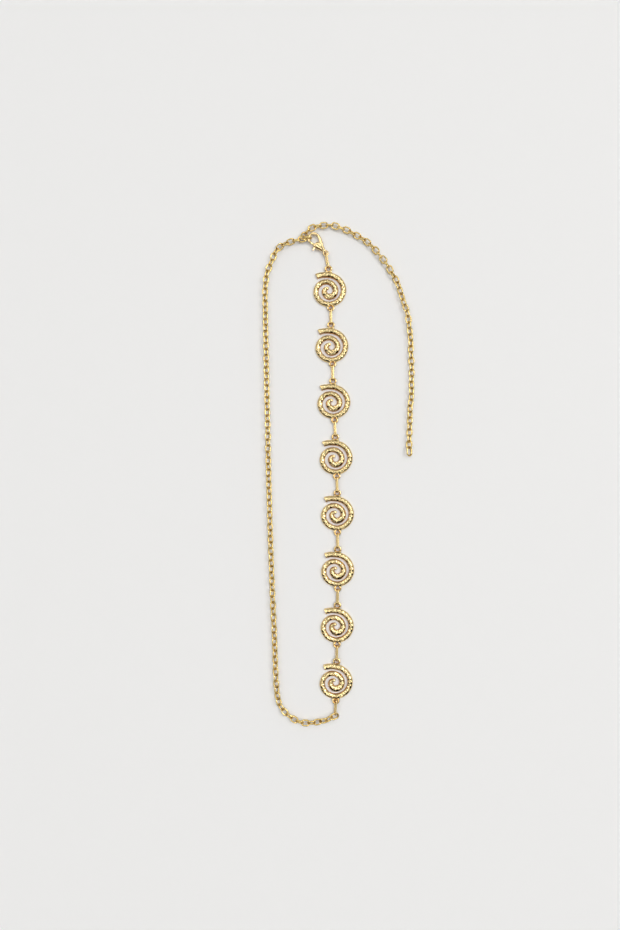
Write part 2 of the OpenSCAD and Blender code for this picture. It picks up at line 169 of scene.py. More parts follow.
def add_piece(name, mesh, body, node):
    """A visible piece on the body that it rides on, in place of the CAD node that it hides."""
    obj = new_object(name, mesh)
    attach(obj, body)
    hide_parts(node)


def add_boolean(base, how, tool):
    cut = base.modifiers.new(how.lower(), "BOOLEAN")
    cut.operation = how
    cut.solver = "EXACT"
    cut.object = tool


def applied(name, base, tools):
    """The smooth mesh that an object's modifiers make; the object and its tools go."""
    bpy.context.view_layer.update()
    mesh = bpy.data.meshes.new_from_object(base.evaluated_get(bpy.context.evaluated_depsgraph_get()))
    mesh.name = name
    for obj in [base] + tools:
        bpy.data.objects.remove(obj)
    mesh.materials.clear()
    mesh.shade_smooth()
    return mesh


def fused(name, parts, cuts):
    """One closed mesh from parts that overlap, by exact union, less its cuts."""
    base, *tools = [new_object(f"{name}_part_{k}", new_mesh(f"{name}_part_{k}", *part))
                    for k, part in enumerate(parts + cuts)]
    for k, tool in enumerate(tools, 1):
        add_boolean(base, "UNION" if k < len(parts) else "DIFFERENCE", tool)
    return applied(name, base, tools)


def cast(name, parts, cuts, kept=(), grain=0.1):
    """Parts melted into one soft casting, less its cuts, and only what is kept of it."""
    base = new_object(name + "_cast", new_mesh(name + "_cast", *joined(parts)))
    melt = base.modifiers.new("melt", "REMESH")
    melt.mode = "VOXEL"
    melt.voxel_size = grain
    soften = base.modifiers.new("soften", "SMOOTH")
    soften.factor = 0.5
    soften.iterations = 5
    tools = []
    for how, shape in [("DIFFERENCE", c) for c in cuts] + [("INTERSECT", c) for c in kept]:
        tool_name = f"{name}_tool_{len(tools)}"
        tools.append(new_object(tool_name, new_mesh(tool_name, *shape)))
        add_boolean(base, how, tools[-1])
    return applied(name, base, tools)


def add_painted_shade(mesh, amounts):
    """How much painted shade each point gets, for the finish to read."""
    layer = mesh.attributes.new("painted_shade", "FLOAT", "POINT")
    layer.data.foreach_set("value", np.asarray(amounts, np.float32))


# Shader nodes
def node_kit(tree, blend):
    """Two helpers for a shader: ramp maps a range of values to another one, and maths joins two values."""
    def ramp(source, low, high, to_low, to_high):
        node = tree.nodes.new("ShaderNodeMapRange")
        node.interpolation_type = blend
        for key, value in (("From Min", low), ("From Max", high), ("To Min", to_low), ("To Max", to_high)):
            node.inputs[key].default_value = value
        tree.links.new(source, node.inputs["Value"])
        return node.outputs["Result"]

    def maths(how, a, b):
        node = tree.nodes.new("ShaderNodeMath")
        node.operation = how
        for slot, value in zip(node.inputs, (a, b)):
            if isinstance(value, float):
                slot.default_value = value
            else:
                tree.links.new(value, slot)
        return node.outputs["Value"]

    return ramp, maths


# Gold finishes: how fine their patterns are, in 1/m, and how deep, in metres
cloud_scale, grain_scale, pit_scale = 420, 3600, 900
grain_depth, pit_depth = 0.00006, 0.00012


def gold(name, colour, dark, rough, grain, bump, marks=0.0, wall_unshaded_share=0.0, satin=0.0):
    """Polished gold plate with an uneven tone and gloss.

    dark: tone of the random clouds and of all painted shade; grain: how far the roughness varies; bump and
    marks: strength of the fine grain and of the coarse pits; wall_unshaded_share: share of the base tone on
    upright walls, the rest of it painted shade; satin: how much rougher the flat top is.
    """
    material = bpy.data.materials.new(name)
    material.use_nodes = True
    nodes, links = material.node_tree.nodes, material.node_tree.links
    ramp, maths = node_kit(material.node_tree, "LINEAR")
    shader = nodes["Principled BSDF"]
    shader.inputs["Metallic"].default_value = 1.0
    place = nodes.new("ShaderNodeTexCoord").outputs["Object"]

    def noise(scale, detail, roughness):
        node = nodes.new("ShaderNodeTexNoise")
        node.inputs["Scale"].default_value = scale
        node.inputs["Detail"].default_value = detail
        node.inputs["Roughness"].default_value = roughness
        links.new(place, node.inputs["Vector"])
        return node.outputs["Fac"]

    def relief(height, strength, depth, under=None):
        node = nodes.new("ShaderNodeBump")
        node.inputs["Strength"].default_value = strength
        node.inputs["Distance"].default_value = depth
        links.new(height, node.inputs["Height"])
        if under is not None:
            links.new(under, node.inputs["Normal"])
        return node.outputs["Normal"]

    clouds = noise(cloud_scale, 3, 0.5)
    fine = noise(grain_scale, 4, 0.6)
    surface = nodes.new("ShaderNodeNewGeometry").outputs
    facing = nodes.new("ShaderNodeSeparateXYZ")
    links.new(surface["Normal"], facing.inputs["Vector"])
    upward = facing.outputs["Z"]
    painted_shade = nodes.new("ShaderNodeAttribute")
    painted_shade.attribute_name = "painted_shade"

    # How much of the base tone a place keeps: less in random clouds, and less under painted shade on upright
    # walls, where the per-point attribute asks for it and in hollows
    mottle_and_shade_mix = maths("MULTIPLY", ramp(upward, 0.1, 0.75, wall_unshaded_share, 1.0), ramp(clouds, 0.3, 0.7, 0.8, 1.0))
    # Painted shade and painted reflection where the per-point attribute asks for it
    mottle_and_shade_mix = maths("MULTIPLY", mottle_and_shade_mix, ramp(painted_shade.outputs["Fac"], 0.0, 1.0, 1.0, 0.0))
    # Painted shade in hollows
    mottle_and_shade_mix = maths("MULTIPLY", ramp(surface["Pointiness"], 0.44, 0.5, 0.0, 1.0), mottle_and_shade_mix)
    tone = nodes.new("ShaderNodeMix")
    tone.data_type = "RGBA"
    tone.inputs["A"].default_value = (*dark, 1)
    tone.inputs["B"].default_value = (*colour, 1)
    links.new(mottle_and_shade_mix, tone.inputs["Factor"])
    links.new(tone.outputs["Result"], shader.inputs["Base Color"])

    gloss = ramp(fine, 0.3, 0.7, rough - grain, rough + grain)
    links.new(maths("ADD", gloss, ramp(upward, 0.8, 0.97, 0.0, satin)), shader.inputs["Roughness"])

    normal = relief(fine, bump, grain_depth)
    if marks:
        pits = nodes.new("ShaderNodeTexVoronoi")
        pits.feature = "SMOOTH_F1"
        pits.inputs["Scale"].default_value = pit_scale
        pits.inputs["Smoothness"].default_value = 0.6
        links.new(place, pits.inputs["Vector"])
        normal = relief(pits.outputs["Distance"], marks, pit_depth, normal)
    links.new(normal, shader.inputs["Normal"])
    return material


# The second colour of each finish is the tone of its random clouds and of its painted shade
hammered_gold = gold("hammered_gold", (0.91, 0.745, 0.4), (0.52, 0.21, 0.01),
                     rough=0.04, grain=0.025, bump=0.12, marks=0.18, wall_unshaded_share=0.7, satin=0.05)
link_gold = gold("connector_gold", (0.92, 0.73, 0.36), (0.5, 0.25, 0.03),
                 rough=0.07, grain=0.03, bump=0.12, marks=0.5, wall_unshaded_share=0.45)
cable_gold = gold("cable_gold", (0.9, 0.715, 0.31), (0.5, 0.26, 0.02),
                  rough=0.06, grain=0.03, bump=0.15, marks=0.25, wall_unshaded_share=0.5, satin=0.03)
clasp_gold = gold("clasp_gold", (0.94, 0.76, 0.42), (0.55, 0.3, 0.05),
                  rough=0.13, grain=0.04, bump=0.12, wall_unshaded_share=0.7)


# The spiral pendant
# Its band [turn clockwise from the top, radius as a share of half the width, width as a share of the band]
SPIRAL_ROWS = [
    (-38, 1.135, 1.05), (-20, 1.03, 1.02), (0, 0.951, 1), (45, 0.91, 1), (90, 0.895, 1), (135, 0.85, 1),
    (180, 0.816, 1), (225, 0.808, 0.99), (270, 0.778, 0.98), (315, 0.658, 0.96), (360, 0.523, 0.96),
    (405, 0.432, 1), (450, 0.408, 1.05), (495, 0.393, 1.11), (540, 0.366, 1.13), (585, 0.308, 1.02),
    (630, 0.271, 0.91), (660, 0.218, 0.77), (690, 0.165, 0.6),
]
# Half of the band's section [distance in from its side, height, share of the hammering]
BAND_SIDE = [
    (0.3, 0, 0), (0.06, 0.1, 0), (0, 0.35, 0), (0.03, 0.85, 0.2), (0.1, 1.3, 0.5), (0.22, 1.68, 0.8),
    (0.38, 1.96, 1), (0.6, 2.17, 1), (0.88, 2.33, 1), (1.18, 2.43, 1), (1.5, 2.49, 1), (1.8, 2.53, 1),
    (2.12, 2.55, 1),
]
widest_row = 2
# A narrow stretch of band has this share of the full height, and more by its share of the full width
narrow_height, height_gain = 0.8, 0.2
# Stations along the band: their step, closer ones where the cut end is rounded, and the slopes of the head's
station_step = 0.24
end_round = 0.35
end_fall = 0.35
END_STATIONS = [0, 0.04, 0.1, 0.18, 0.27]
HEAD_SLOPES = [8, 16, 24, 32, 40, 48, 56, 63, 70, 76, 82, 87]
# Length of the band's first turn, whose outer wall faces no other turn
first_turn = 72.0
# Rows of hammer marks [place across the band, distance between marks, depth, radius], and their disorder
HAMMER_ROWS = [(-1.45, 2.6, 0.34, 1.15), (0.0, 1.9, 0.11, 0.85), (1.45, 2.6, 0.34, 1.15)]
hammer_seed = 11
mark_shift_along, mark_shift_across = 0.5, 0.3
mark_depths = (0.55, 1.3)
mark_radii = (0.85, 1.15)
# The marks are longer along the band, drawn in a little from its sides, and their crests stand out
mark_length = 0.72
mark_squeeze = 1.05
crest = 0.04


def band_line():
    """Centre points, ways along, widths and distances along the band, and its round head's place and radius."""
    turns = np.linspace(SPIRAL_ROWS[0][0], SPIRAL_ROWS[-1][0], 4000)
    radii = smooth_row(SPIRAL_ROWS, turns, 1) * spiral_d / 2
    angle = np.radians(turns)
    dense = np.stack([radii * np.sin(angle), radii * np.cos(angle)], 1)
    far = np.concatenate([[0], np.cumsum(np.linalg.norm(np.diff(dense, axis=0), axis=1))])
    at = np.array(END_STATIONS + list(np.arange(end_round, far[-1], station_step)) + [far[-1]])
    points = np.stack([np.interp(at, far, dense[:, k]) for k in (0, 1)], 1)
    widths = smooth_row(SPIRAL_ROWS, np.interp(at, far, turns), 2) * band_w
    way = points[-1] - points[-2]
    way /= np.linalg.norm(way)
    head_r, head_at = widths[-1] / 2, at[-1]
    lean = np.radians(np.array(HEAD_SLOPES))
    points = np.concatenate([points, points[-1] + np.outer(np.sin(lean) * head_r, way)])
    widths = np.concatenate([widths, 2 * head_r * np.cos(lean)])
    at = np.concatenate([at, at[-1] + np.sin(lean) * head_r])
    ways = np.gradient(points, axis=0)
    ways /= np.linalg.norm(ways, axis=1)[:, None]
    return points, ways, widths, at, (head_at, head_r)


def band_profile(width, shrink):
    """Section of the band as points [across, height], ways out and shares of the hammering."""
    half = max(width / 2 - shrink, 0.02)
    squeeze = half / (band_w / 2)
    high = (1 - shrink * end_fall) * min(1, narrow_height + height_gain * squeeze)
    side = [(half - inward * squeeze, z * high, share) for inward, z, share in BAND_SIDE]
    rows = side + [(-x, z, share) for x, z, share in reversed(side)]
    line = np.array([[r[0], r[1]] for r in rows])
    along = np.roll(line, -1, 0) - np.roll(line, 1, 0)
    out = np.stack([along[:, 1], -along[:, 0]], 1)
    out /= np.linalg.norm(out, axis=1)[:, None] + 1e-9
    return line, out, np.array([r[2] for r in rows])


def head_height(across, past, head_r):
    """Height of the band's round head, which falls towards its outline on every side."""
    squeeze = head_r / (band_w / 2)
    inward = np.clip(head_r - np.hypot(across, past), 0, None) / squeeze
    rim = np.array(BAND_SIDE[widest_row:])
    return np.interp(inward, rim[:, 0], rim[:, 1]) * (narrow_height + height_gain * squeeze)


def hammer_marks(length):
    """Places [along, across, depth, radius] of the hammer marks, in staggered rows with some disorder."""
    rng = np.random.default_rng(hammer_seed)
    marks = []
    for row, (across, step, depth, radius) in enumerate(HAMMER_ROWS):
        for along in np.arange(step * 0.5 * (row % 2), length + step, step):
            marks.append((along + rng.uniform(-mark_shift_along, mark_shift_along),
                          across + rng.uniform(-mark_shift_across, mark_shift_across),
                          depth * rng.uniform(*mark_depths), radius * rng.uniform(*mark_radii)))
    return np.array(marks)


def hammered(along, across, marks):
    """How far the surface stands out at a place: the bowl of the nearest mark, with crests between marks."""
    d2 = (along[:, None] - marks[None, :, 0]) ** 2 * mark_length + (across[:, None] - marks[None, :, 1]) ** 2
    curve = marks[None, :, 2] / marks[None, :, 3] ** 2
    return np.minimum((d2 * curve - marks[None, :, 2]).min(1), crest)


def spiral_band():
    """The hammered band of a pendant, from its cut end to its round head."""
    points, ways, widths, at, (head_at, head_r) = band_line()
    marks = hammer_marks(at[-1])
    verts = []
    for i in range(len(points)):
        left_over = max(0, end_round - at[i])
        shrink = end_round - math.sqrt(max(0, end_round ** 2 - left_over ** 2))
        line, out, share = band_profile(widths[i], shrink)
        if at[i] > head_at:
            line[:, 1] = np.minimum(line[:, 1], head_height(line[:, 0], at[i] - head_at, head_r))
            share = share * max(0.0, 1 - (at[i] - head_at) / head_r)
        stand = hammered(np.full(len(line), at[i]), line[:, 0] * mark_squeeze, marks) * share
        across = line[:, 0] + out[:, 0] * stand
        height = line[:, 1] + out[:, 1] * stand
        left = np.array([-ways[i][1], ways[i][0]])
        flat = points[i] + across[:, None] * left
        verts.append(np.concatenate([flat, height[:, None]], 1))
    return np.concatenate(verts), bar_faces(len(verts), len(verts[0]))


def turned_ring(centre, hole_d, rim_w, height, z, toward=0, dip=0.0):
    """A rounded ring about a hole, a little softer than a torus, which may dip on the side of the band."""
    around, sides, softness = 56, 16, 0.8
    dip_from, dip_full = 0.3, 2.0
    middle = hole_d / 2 + rim_w / 2
    verts = []
    for a in circle(around):
        for b in circle(sides):
            out, up = rounded(b, softness)
            r = middle + rim_w / 2 * out
            sunk = dip * float(smooth_step(dip_from, dip_full, toward * r * math.sin(a)))
            verts.append((centre[0] + r * math.cos(a), centre[1] + r * math.sin(a), z + height / 2 * up - sunk))
    return np.array(verts), ring_faces(around, sides, True)


def neck(hole, toward, out):
    """The web that widens from an eyelet's rim and dips into the band, as a stack of rounded sections."""
    sides, softness = 20, 0.7
    reach = eyelet_hole_d / 2 + eyelet_rim_w * 0.35
    # [distance from the hole's middle, half width, height, place above the eyelet's middle]
    rows = [(reach - 0.4, 2.2, 1.0, 0), (reach, 2.45, 1.05, -0.06),
            (out + 0.3, 2.8, 1.1, -0.3), (out + 1.2, 3.1, 0.7, -0.75)]
    if out < reach:
        rows = [(0.4, 2.7, 1.0, 0), (out, 2.85, 1.05, -0.15),
                (out + 0.5, 2.95, 1.0, -0.35), (out + 1.2, 3.0, 0.7, -0.7)]
    verts = []
    for far, half, height, above in rows:
        for b in circle(sides):
            x, up = rounded(b, softness)
            verts.append((hole[0] + half * x, hole[1] + toward * far, eyelet_z + height / 2 * up + above))
    return np.array(verts), bar_faces(len(rows), sides)


def band_edge(turn):
    """How far from the middle the band's outer wall is at a turn."""
    turn = np.array([turn])
    return (smooth_row(SPIRAL_ROWS, turn, 1) * spiral_d / 2 + smooth_row(SPIRAL_ROWS, turn, 2) * band_w / 2)[0]


def spiral_painted_shade(mesh, holes):
    """Painted shade and reflection on walls that face another turn, and painted shade about the eyelets."""
    at = np.empty(len(mesh.vertices) * 3)
    mesh.vertices.foreach_get("co", at)
    at = at.reshape(-1, 3)
    points, ways, _, far, _ = band_line()
    nearest = ((at[:, None, :2] - points[None]) ** 2).sum(2).argmin(1)
    way = ways[nearest]
    across = ((at[:, :2] - points[nearest]) * np.stack([-way[:, 1], way[:, 0]], 1)).sum(1)
    # Painted shade and painted reflection of the next turn, low on the walls that face it
    inside_turns = smooth_step(first_turn - 3, first_turn + 3, far[nearest])
    faces_gap = np.where(across < 0, 1.0, inside_turns)
    low_down, at_side = smooth_step(1.95, 1.25, at[:, 2]), smooth_step(0.9, 1.5, np.abs(across))
    amount = faces_gap * low_down * at_side
    hole_r = eyelet_hole_d / 2
    # Painted shade in and around each eyelet's hole
    for hole in holes:
        from_hole = np.linalg.norm(at[:, :2] - np.array(hole), axis=1)
        amount = np.maximum(amount, 0.95 * smooth_step(hole_r + 1.0, hole_r + 0.2, from_hole))
    return amount


# Links of round wire, laid where the frame has them
def welded_islands(obj):
    """The separate closed pieces of a CAD node, each as points and triangles."""
    bm = bmesh.new()
    bm.from_mesh(obj.data)
    bmesh.ops.remove_doubles(bm, verts=bm.verts, dist=1e-7)
    bmesh.ops.triangulate(bm, faces=bm.faces)
    bm.verts.ensure_lookup_table()
    points = np.array([v.co for v in bm.verts])
    triangles = np.array([[v.index for v in f.verts] for f in bm.faces])
    bm.free()
    root = np.arange(len(points))
    while True:
        low = root[triangles].min(1)
        new = root.copy()
        np.minimum.at(new, triangles.ravel(), np.repeat(low, 3))
        new = new[new]
        if (new == root).all():
            break
        root = new
    return [(points, triangles[root[triangles[:, 0]] == r]) for r in np.unique(root[triangles[:, 0]])]


def link_place(points, triangles):
    """Middle, long way, side way and upright way of a link, and its sizes along them, in metres."""
    corners = points[triangles]
    area = np.linalg.norm(np.cross(corners[:, 1] - corners[:, 0], corners[:, 2] - corners[:, 0]), axis=1) / 2
    centroid = corners.mean(1)
    middle = (centroid * area[:, None]).sum(0) / area.sum()
    shifted = corners - middle
    spread = np.einsum("i,ijk,ijl->kl", area, shifted, shifted) + 9 * np.einsum(
        "i,ik,il->kl", area, centroid - middle, centroid - middle)
    axes = np.linalg.eigh(spread)[1][:, ::-1].T
    if np.linalg.det(axes) < 0:
        axes[2] *= -1
    used = points[np.unique(triangles)]
    reach = (used - middle) @ axes.T
    low, high = reach.min(0), reach.max(0)
    return middle + (low + high) / 2 @ axes, axes, high - low


def wire_link(length, width, wire, sides):
    """A stadium-shaped link of round wire lying flat along X, with its soldered seam on one straight side."""
    bow_stations, straight_stations = 18, 7
    seam_swell, seam_reach = 0.05, 0.2 * wire
    bow_r, reach = (width - wire) / 2, (length - width) / 2
    path, ways, swell = [], [], []
    for side in (0, math.pi):
        turned = Matrix.Rotation(side, 2)
        for k in range(bow_stations):
            a = -math.pi / 2 + math.pi * k / bow_stations
            path.append(turned @ Vector((reach + bow_r * math.cos(a), bow_r * math.sin(a))))
            ways.append(turned @ Vector((-math.sin(a), math.cos(a))))
            swell.append(0)
        for k in range(straight_stations):
            x = reach - 2 * reach * k / straight_stations
            path.append(turned @ Vector((x, bow_r)))
            ways.append(turned @ Vector((-1, 0)))
            swell.append(seam_swell * math.exp(-(abs(x) / seam_reach) ** 2) if side == 0 else 0)
    verts = []
    for p, w, s in zip(path, ways, swell):
        out = Vector((w.y, -w.x))
        for b in circle(sides):
            r = wire / 2 * (1 + s)
            verts.append((p.x + out.x * r * math.cos(b), p.y + out.y * r * math.cos(b), r * math.sin(b)))
    return np.array(verts), ring_faces(len(path), sides, True)


def link_painted_shade(verts, size):
    """Painted shade where the next link's wire lies in the bow."""
    length, _, wire = size
    joint = length / 2 - 1.5 * wire
    away = np.sqrt((np.abs(verts[:, 0]) - joint) ** 2 + verts[:, 1] ** 2 + (verts[:, 2] * 0.7) ** 2)
    # Painted shade, darkest where the links touch
    return smooth_step(1.45 * wire, 0.75 * wire, away)


def add_links(name, node, material, sides=14):
    """Every link of a node, drawn finely in its place."""
    parts, painted_shade = [], []
    for points, triangles in welded_islands(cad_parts[node]):
        middle, axes, size = link_place(points, triangles)
        verts, faces = wire_link(*size, sides)
        # Painted shade where each link meets the next
        painted_shade.append(link_painted_shade(verts, size))
        parts.append((middle + verts @ axes, faces))
    mesh = new_mesh(name, *joined(parts))
    mesh.shade_smooth()
    mesh.materials.append(material)
    add_painted_shade(mesh, np.concatenate(painted_shade))
    add_piece(name, mesh, chain_body, node)


# The pendants hang between the connectors: each hole lies just past a connector's end
eyelet_dip = 0.45
hole_trim = 0.04


def connector_ends(number):
    """Upper and lower end of a connector's middle line, and the way down it, in metres."""
    points, triangles = welded_islands(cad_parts[f"connector_{number}"])[0]
    middle, axes, size = link_place(points, triangles)
    half = (size[0] - size[2]) / 2
    way = axes[0] if axes[0][1] < 0 else -axes[0]
    return middle - way * half, middle + way * half, way


def add_spirals():
    """The eight pendants, all cast from one mould."""
    hole_top = (eyelet_side, band_edge(0.0) + eyelet_top_out)
    hole_bottom = (eyelet_side, -band_edge(180.0) - eyelet_bottom_out)
    ring = (eyelet_hole_d, eyelet_rim_w, eyelet_h, eyelet_z)
    mesh = fused("hammered_spiral", [
        spiral_band(),
        neck(hole_top, -1, eyelet_top_out),
        neck(hole_bottom, 1, eyelet_bottom_out),
        turned_ring(hole_top, *ring, toward=-1, dip=eyelet_dip),
        turned_ring(hole_bottom, *ring, toward=1, dip=eyelet_dip),
    ], [disc(hole, eyelet_hole_d / 2 - hole_trim, -1, 4) for hole in (hole_top, hole_bottom)])
    mesh.materials.append(hammered_gold)
    # Painted shade and painted reflection between the turns, and painted shade about the eyelets
    add_painted_shade(mesh, spiral_painted_shade(mesh, (hole_top, hole_bottom)))
    for number in range(1, 9):
        _, end, way = connector_ends(number)
        top = end + way * connector_hang * MM
        start, _, next_way = connector_ends(number + 1)
        # The last connector's bow lies on the other side of its eyelet's hole
        sign = 1 if number == 8 else -1
        bottom = start + sign * next_way * connector_hang * MM
        down = (bottom - top)[:2]
        turn = math.atan2(down[0], -down[1])
        own = mesh.copy()
        own.transform(Matrix.Translation((top[0], top[1], 0)) @ Matrix.Rotation(turn, 4, "Z")
                      @ Matrix.Scale(MM, 4) @ Matrix.Translation((-hole_top[0], -hole_top[1], 0)))
        add_piece(f"hammered_spiral_{number}", own, chain_body, f"spiral_{number}")


# The clasp, drawn in its own frame: its ring's hole at the origin and its top along Y
# Bars [across as a share of the width, along as a share of the length, share of the bar's width, height]
HOOK_ROWS = [
    (0.02, 0.12, 1.3, 1.9), (0.048, 0.3, 1.6, 2.3), (0.183, 0.46, 1.5, 2.3), (0.279, 0.61, 1.25, 2.15),
    (0.288, 0.75, 1.15, 2.0), (0.183, 0.88, 1.1, 2.0), (-0.029, 0.948, 1.05, 2.0), (-0.25, 0.93, 1, 1.95),
    (-0.413, 0.865, 1, 1.95), (-0.5, 0.78, 1, 1.95), (-0.53, 0.7, 1, 1.95),
]
CHEEK_ROWS = [(0, 0.1, 0.95, 1.6), (-0.1, 0.22, 1.25, 2.1), (-0.22, 0.35, 1.6, 2.3), (-0.317, 0.488, 1.75, 2.3)]
BELLY_ROWS = [(0.01, 0.12, 0.8, 1.7), (-0.02, 0.25, 1.5, 2.1), (-0.07, 0.38, 2.3, 2.2), (-0.12, 0.45, 2.6, 2.2)]
BRIDGE_ROWS = [(-0.33, 0.53, 1.35, 2.3), (-0.12, 0.475, 1.2, 2.3), (0.12, 0.43, 1.3, 2.3)]
ARM_ROWS = [
    (-0.317, 0.488, 1.2, 1.15), (-0.37, 0.54, 1.1, 1.15), (-0.425, 0.61, 1, 1.2), (-0.46, 0.66, 1, 1.8),
    (-0.49, 0.72, 1, 1.9), (-0.519, 0.783, 1, 1.9), (-0.54, 0.86, 1, 1.9),
]
TAB_ROWS = [
    (-0.317, 0.488, 1.3, 1.15), (-0.4, 0.463, 1.1, 1.15), (-0.5, 0.432, 0.9, 1.1), (-0.65, 0.386, 0.7, 1.1),
]
hook_w = 1.9
lever_w = 1.8
lever_reach = 0.276 * clasp_l
tip_play = 0.15
# The boss on the pin, and the slot in the body for it and for the lever
boss_r = 1.6
boss_play = 0.3
half_slot = 0.7
# The dark slit along the belly, beside the lever's room [place, how far right and left of it] at its ends
SLIT_ENDS = [((-4.0, 8.45), 0.1, 0.7), ((-0.95, 2.95), 0.05, 0.55)]
slit_floor = 0.35
# Height past which every cut goes right through
past_all = 2
# The pin's outline [radius, height]
PIN_ROWS = [
    (0.01, -1.2), (0.32, -1.19), (0.45, -1.12), (0.49, -1.0),
    (0.49, 1.0), (0.45, 1.12), (0.32, 1.19), (0.01, 1.2),
]


def smooth_path(rows, steps=6):
    """Points of a smooth line through rows, as the part's own chains and strips run."""
    rows = np.array(rows, float)
    out = []
    for i in range(len(rows) - 1):
        a, b = rows[max(i - 1, 0)], rows[i]
        c, d = rows[i + 1], rows[min(i + 2, len(rows) - 1)]
        for k in range(steps):
            u = k / steps
            out.append((2 * b + (c - a) * u + (2 * a - 5 * b + 4 * c - d) * u * u
                        + (3 * b - a - 3 * c + d) * u ** 3) / 2)
    out.append(rows[-1])
    return np.array(out)


def swept(rows, width):
    """A closed bar of soft oblong section with round ends, along the rows of a bar."""
    sides, softness = 28, 0.85
    path = smooth_path([(r[0] * clasp_w, r[1] * clasp_l, r[2] * width / 2, r[3] / 2) for r in rows])
    ways = np.gradient(path[:, :2], axis=0)
    ways /= np.linalg.norm(ways, axis=1)[:, None]
    stations = [(p[:2], w, p[2], p[3]) for p, w in zip(path, ways)]
    caps = [(math.sin(a), math.cos(a)) for a in (0.35, 0.75, 1.1, 1.4)]

    def end_cap(station, sign):
        mid, way, half, high = station
        return [(mid + sign * way * half * s, way, half * c, high * c) for s, c in caps]

    stations = end_cap(stations[0], -1)[::-1] + stations + end_cap(stations[-1], 1)
    verts = []
    for mid, way, half, high in stations:
        left = np.array([-way[1], way[0]])
        for b in circle(sides):
            x, up = rounded(b, softness)
            verts.append((*(mid + left * (half * x)), high * up))
    return np.array(verts), bar_faces(len(stations), sides)


def clasp_casting():
    """The ring, cheeks, belly and hook, less the lever's room and the belly's slit."""
    px, py = pivot
    side = px - clasp_w / 2
    arm_room = py + lever_reach / 2
    slot = prism([(px - 0.4, py + 0.4), (px + boss_r, py), (px + boss_r, arm_room), (side, arm_room),
                  (side, py - 1.9 * boss_r), (px, py - 1.1 * boss_r)], -half_slot, half_slot)
    boss_room = disc(pivot, boss_r + boss_play, -half_slot, half_slot)
    swing_r = lever_reach + tip_play
    swing = [(px + swing_r * math.cos(a), py + swing_r * math.sin(a)) for a in circle(96)]
    swing = [(max(min(x, -0.1 * clasp_w), -0.9 * clasp_w), max(y, arm_room)) for x, y in swing]
    tip_room = prism(list(dict.fromkeys(swing)), -past_all, past_all)
    (start, start_right, start_left), (end, end_right, end_left) = SLIT_ENDS
    start, end = np.array(start), np.array(end)
    way = (end - start) / np.linalg.norm(end - start)
    left = np.array([-way[1], way[0]])
    slit = prism([tuple(start - left * start_right), tuple(start + left * start_left),
                  tuple(end + left * end_left), tuple(end - left * end_right)], slit_floor, past_all)
    bore = disc(pivot, 0.5, -past_all, past_all)
    hole = disc((0, 0), 1.3, -past_all, past_all)
    return cast("lobster_clasp", [
        turned_ring((0, 0), 2.7, 1.05, 1.3, 0), swept(HOOK_ROWS, hook_w), swept(CHEEK_ROWS, hook_w),
        swept(BELLY_ROWS, hook_w), swept(BRIDGE_ROWS, hook_w),
    ], [slot, boss_room, tip_room, slit, bore, hole])


def clasp_lever():
    """The lever's arm, boss and thumb tab, inside its swing."""
    return cast("clasp_lever_arm", [
        swept(ARM_ROWS, lever_w), swept(TAB_ROWS, lever_w), disc(pivot, boss_r - 0.05, -0.57, 0.57),
    ], [disc(pivot, 0.55, -past_all, past_all)],
        [disc(pivot, lever_reach - 0.01, -past_all, past_all, 96)], 0.08)


def clasp_pin():
    """The lever's pin, with its edges rounded."""
    sides = 32
    verts = [(pivot[0] + r * math.cos(a), pivot[1] + r * math.sin(a), z)
             for r, z in PIN_ROWS for a in circle(sides)]
    mesh = new_mesh("clasp_pin_head", verts, bar_faces(len(PIN_ROWS), sides))
    mesh.shade_smooth()
    return mesh


def add_clasp_piece(name, mesh, body, node):
    low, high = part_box("clasp_pin")
    at = (Vector(low) + Vector(high)) / 2
    mesh.transform(Matrix.Translation(at) @ Matrix.Rotation(clasp_turn, 4, "Z") @ Matrix.Scale(MM, 4)
                   @ Matrix.Translation((-pivot[0], -pivot[1], 0)))
    mesh.materials.append(clasp_gold)
    add_piece(name, mesh, body, node)


add_spirals()
for number in range(1, 10):
    add_links(f"long_link_{number}", f"connector_{number}", link_gold, 18)
add_links("cable_loop", "chain_loop", cable_gold)
add_links("cable_tail", "chain_tail", cable_gold)
add_links("twisted_end_ring", "end_ring", cable_gold, 20)
add_clasp_piece("lobster_clasp", clasp_casting(), chain_body, "clasp_body")
add_clasp_piece("clasp_lever_arm", clasp_lever(), lever_body, "clasp_lever")
add_clasp_piece("clasp_pin_head", clasp_pin(), chain_body, "clasp_pin")


# The table, the light and the camera
# Brightness of the sky low down and high up, and its share about the zenith; of the backdrop; and of it all
sky_low, sky_high, zenith_share = 0.02, 0.5, 0.8
backdrop = 0.68
brightness = 1.065
sky_colour = (1.0, 0.985, 0.955)
# Where one part of the sky passes into the next [from, to]: along Y for the near side, and by height
RISE = (0.12, 0.62)
ZENITH = (0.95, 0.99)
NEAR_SIDE = (-0.16, -0.34)
NEAR_SIDE_TOP = (0.8, 0.7)
BACKDROP_TOP = (0.28, 0.2)
# Panels of the sky [x from, x to, y from, y to, soft edge, brightness]
PANELS = [
    (0.3, 0.7, -0.15, 0.38, 0.03, 3.1),
    (-0.6, -0.32, 0.05, 0.5, 0.03, 2.7),
    (-0.1, 0.2, 0.32, 0.6, 0.03, 2.3),
    (-0.3, 0.02, -0.42, -0.22, 0.03, 2.1),
    (0.04, 0.16, -0.12, 0.1, 0.02, 1.0),
]


